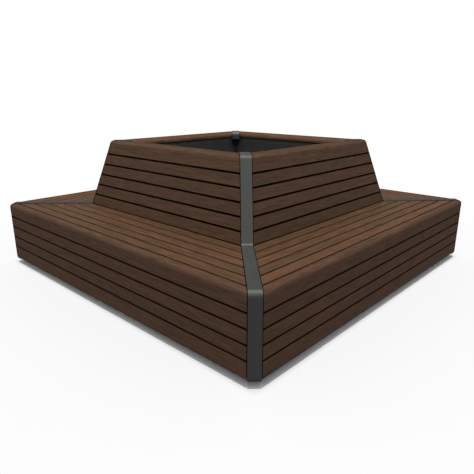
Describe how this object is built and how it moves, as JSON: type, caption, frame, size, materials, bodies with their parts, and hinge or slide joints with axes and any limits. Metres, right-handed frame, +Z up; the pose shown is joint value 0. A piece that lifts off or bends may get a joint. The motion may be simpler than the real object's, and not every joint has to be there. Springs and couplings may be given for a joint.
{
  "type": "bench with planter",
  "caption": "Square slatted bench round a planter: timber boards wrap from skirt to seat, leaning back and flat rim, with bent metal bars at the mitred corners and a sheet-metal liner.",
  "frame": {"origin": "on the floor, under the middle of the planter", "axes": "+Z up along the planter's axis, +X to the right side, +Y to the back side, four sides alike"},
  "size_m": [2.4042, 2.4042, 0.8985],
  "materials": {
    "timber": "oiled dark hardwood boards, planed, with eased edges",
    "strap_coat": "powder-coated steel bar, satin dark grey",
    "frame_coat": "powder-coated steel, matt black",
    "liner_coat": "powder-coated steel sheet, matt dark grey",
    "drain_plastic": "moulded black plastic",
    "foot_rubber": "black rubber",
    "zinc": "zinc-plated steel"
  },
  "bodies": {
    "root": {"nosing_board_right": "timber", "nosing_board_back": "timber", "nosing_board_left": "timber", "nosing_board_front": "timber", "front_battens_right": "timber", "front_battens_back": "timber", "front_battens_left": "timber", "front_battens_front": "timber", "seat_battens_right": "timber", "seat_battens_back": "timber", "seat_battens_left": "timber", "seat_battens_front": "timber", "back_battens_right": "timber", "back_battens_back": "timber", "back_battens_left": "timber", "back_battens_front": "timber", "rim_board_right": "timber", "rim_board_back": "timber", "rim_board_left": "timber", "rim_board_front": "timber", "corner_strap_back_right": "strap_coat", "corner_strap_back_left": "strap_coat", "corner_strap_front_left": "strap_coat", "corner_strap_front_right": "strap_coat", "corner_web_back_right": "frame_coat", "corner_web_back_left": "frame_coat", "corner_web_front_left": "frame_coat", "corner_web_front_right": "frame_coat", "corner_flanges_back_right": "frame_coat", "corner_flanges_back_left": "frame_coat", "corner_flanges_front_left": "frame_coat", "corner_flanges_front_right": "frame_coat", "rib_webs_right": "frame_coat", "rib_webs_back": "frame_coat", "rib_webs_left": "frame_coat", "rib_webs_front": "frame_coat", "rib_flanges_right": "frame_coat", "rib_flanges_back": "frame_coat", "rib_flanges_left": "frame_coat", "rib_flanges_front": "frame_coat", "base_rails_right": "frame_coat", "base_rails_back": "frame_coat", "base_rails_left": "frame_coat", "base_rails_front": "frame_coat", "liner_panel_right": "liner_coat", "liner_panel_back": "liner_coat", "liner_panel_left": "liner_coat", "liner_panel_front": "liner_coat", "corner_post_back_right": "frame_coat", "corner_post_back_left": "frame_coat", "corner_post_front_left": "frame_coat", "corner_post_front_right": "frame_coat", "post_heads": "frame_coat", "floor_bearers": "frame_coat", "liner_floor": "liner_coat", "drain_spigots": "drain_plastic", "foot_pads": "foot_rubber", "foot_studs": "zinc", "foot_nuts": "zinc"}
  },
  "joints": []
}
